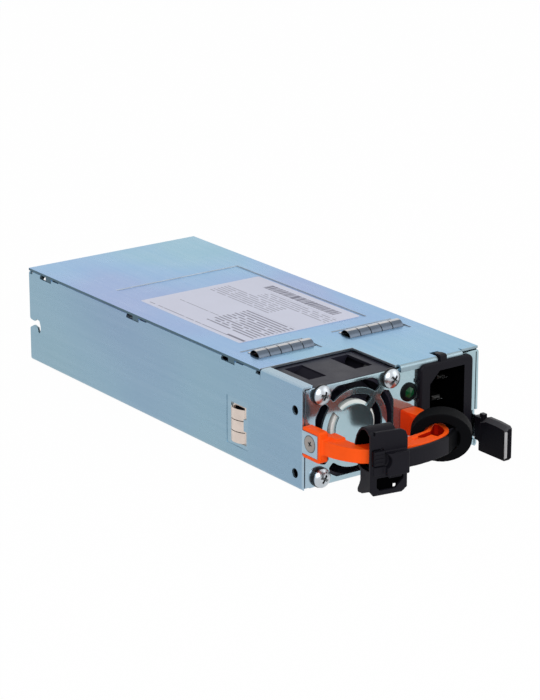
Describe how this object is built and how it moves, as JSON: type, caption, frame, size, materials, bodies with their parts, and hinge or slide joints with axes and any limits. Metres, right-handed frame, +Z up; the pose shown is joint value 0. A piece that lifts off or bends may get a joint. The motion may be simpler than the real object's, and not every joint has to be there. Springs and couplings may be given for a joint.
{
  "type": "hot swap server power supply",
  "caption": "Slim slide-in power supply with a zinc-plated steel case, caged fan, mains inlet, orange pull handle with cord retainer, side release latch and rear card-edge tongue.",
  "frame": {"origin": "centre of the case's bottom face", "axes": "+Z up, +Y along the case towards the rear card-edge tongue, +X to the right when the front with the fan and inlet is faced"},
  "size_m": [0.0849, 0.2351, 0.0418],
  "materials": {
    "zinc_steel": "blue-white zinc-plated sheet",
    "label": "pale satin film",
    "spring_steel": "bright spring steel",
    "fan_plastic": "moulded black",
    "bright_steel": "bright nickel-plated",
    "oxide_steel": "black-oxidised spring steel",
    "black_plastic": "moulded black",
    "lens": "dark green lens",
    "orange_plastic": "moulded orange",
    "board": "green solder mask",
    "gold": "gold-plated",
    "insulator": "film",
    "can": "sleeved can",
    "film_box": "moulded box",
    "winding": "wound and varnished",
    "ferrite": "sintered",
    "aluminium": "extruded",
    "device": "moulded package",
    "brass": "turned",
    "lamp": "clear moulded",
    "fuse": "glazed body"
  },
  "bodies": {
    "case": {"chassis_tray": "zinc_steel", "top_cover": "zinc_steel", "rear_panel": "zinc_steel", "rating_label": "label", "cover_screws": "bright_steel", "top_spring_fingers_left": "spring_steel", "top_spring_fingers_right": "spring_steel", "side_spring_fingers": "spring_steel", "fan_frame": "fan_plastic", "fan_bearing": "brass", "fan_stator": "winding", "fan_screws": "bright_steel", "fan_screw_washers": "oxide_steel", "inlet_body": "black_plastic", "inlet_pins": "bright_steel", "status_lens": "lens", "status_led": "lamp", "pull_handle": "orange_plastic", "handle_screws": "bright_steel", "retainer_clip": "black_plastic", "retainer_strap": "black_plastic", "latch_bracket": "zinc_steel", "latch_pin": "bright_steel", "main_board": "board", "card_edge_contacts": "gold", "board_insulator": "insulator", "board_standoffs": "brass", "board_screws": "bright_steel", "bulk_capacitors": "can", "output_capacitors": "can", "filter_capacitor": "film_box", "common_mode_choke": "winding", "power_factor_choke": "winding", "transformer_core": "ferrite", "transformer_winding": "winding", "primary_heatsink": "aluminium", "secondary_heatsink": "aluminium", "power_transistors": "device", "control_board": "board", "mains_fuse": "fuse"},
    "rotor": {"fan_rotor": "fan_plastic", "rotor_yoke": "bright_steel", "fan_shaft": "bright_steel"},
    "latch": {"latch_lever": "spring_steel", "latch_thumb_tab": "black_plastic", "latch_spring": "spring_steel"},
    "pawl": {"retainer_pawl": "black_plastic"}
  },
  "joints": [
    {"name": "fan_spin", "type": "hinge", "parent": "case", "child": "rotor", "pos_m": [-0.0175, -0.08, 0.01995], "axis": [0, 1, 0], "continuous": true},
    {"name": "latch_press", "type": "hinge", "parent": "case", "child": "latch", "pos_m": [0.0377, -0.047, 0.009], "axis": [0, 0, -1], "range_deg": [0, 1.75], "stiffness_Nm_per_rad": 1.2, "springref_deg": -3.44},
    {"name": "pawl_press", "type": "hinge", "parent": "case", "child": "pawl", "pos_m": [-0.02994, -0.12642, 0.0205], "axis": [0, 0, -1], "range_deg": [0, 6], "stiffness_Nm_per_rad": 0.02, "springref_deg": -2.86}
  ]
}
